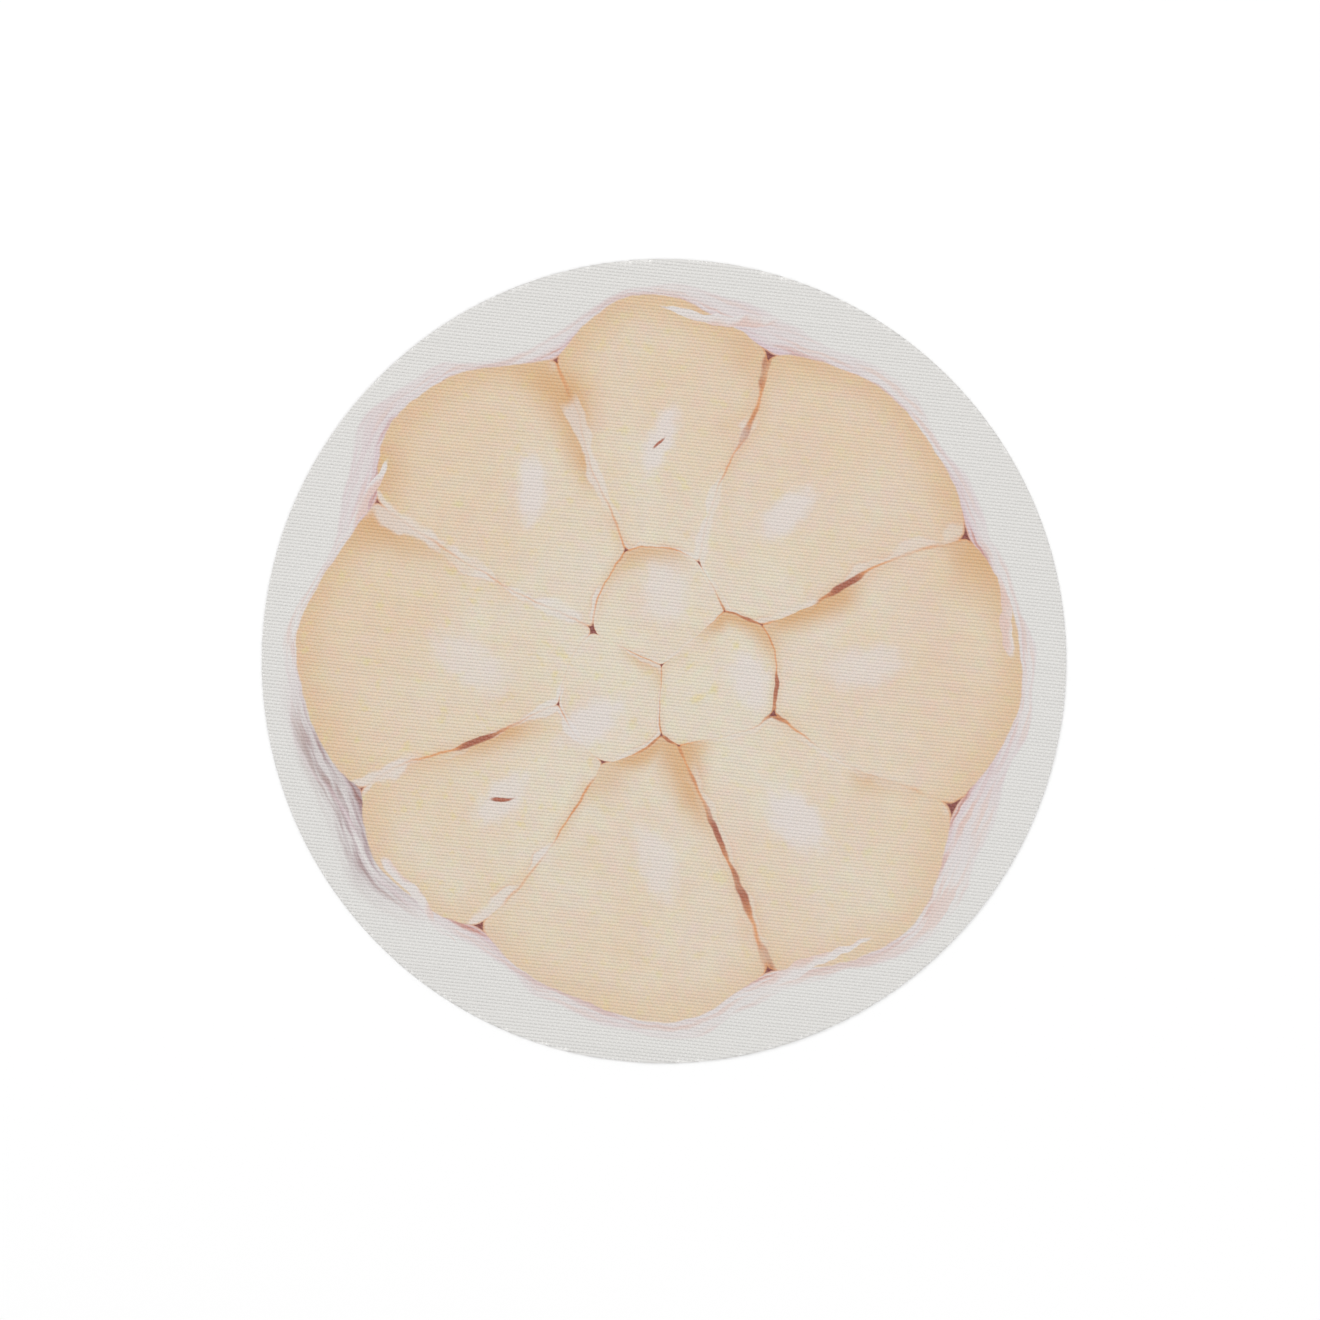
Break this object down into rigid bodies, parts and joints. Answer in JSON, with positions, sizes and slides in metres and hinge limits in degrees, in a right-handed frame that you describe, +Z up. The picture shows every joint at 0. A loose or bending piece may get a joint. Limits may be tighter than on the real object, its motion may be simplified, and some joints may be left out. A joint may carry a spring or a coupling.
{
  "type": "round placemat",
  "caption": "Thin round table mat of plain-woven plastic-coated yarn with a cut edge, printed on top with a cut garlic bulb; a place setting stands on it.",
  "frame": {"origin": "middle of the underside, where the mat lies on the table", "axes": "+Z up through the middle of the mat, out of its printed face; +X to the diner's right; +Y away from the diner"},
  "size_m": [0.38, 0.38, 0.0011],
  "materials": {
    "printed_weave": "matt plastic-coated yarn in a plain weave, off-white, printed in pale cream and rose"
  },
  "bodies": {
    "root": {"woven_mat": "printed_weave"}
  },
  "joints": []
}
